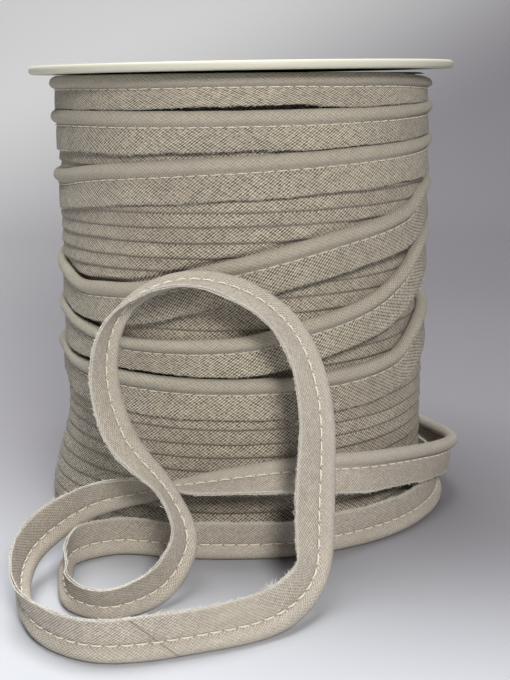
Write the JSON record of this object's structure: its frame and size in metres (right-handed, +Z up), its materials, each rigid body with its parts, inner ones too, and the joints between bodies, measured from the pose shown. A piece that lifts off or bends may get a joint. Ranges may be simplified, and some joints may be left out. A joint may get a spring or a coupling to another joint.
{
  "type": "roll of piping cord",
  "caption": "Roll of sewn piping with a cord bead and raw-edged flange, wound upright under a thin round top disc, its loose end looped on the surface in front.",
  "frame": {"origin": "centre of the roll's flat base, on the surface that it stands on", "axes": "+Z up along the roll's winding axis, -Y towards the loose end and the viewer, +X to the viewer's right"},
  "size_m": [0.145, 0.2052, 0.1509],
  "materials": {
    "flange_board": "smooth off-white board disc with a rounded edge",
    "piping_cloth": "beige plain-weave cotton cut on the bias, with a pale lockstitch beside the cord"
  },
  "bodies": {
    "root": {"top_flange": "flange_board", "wound_roll": "piping_cloth", "loose_tail": "piping_cloth"}
  },
  "joints": []
}
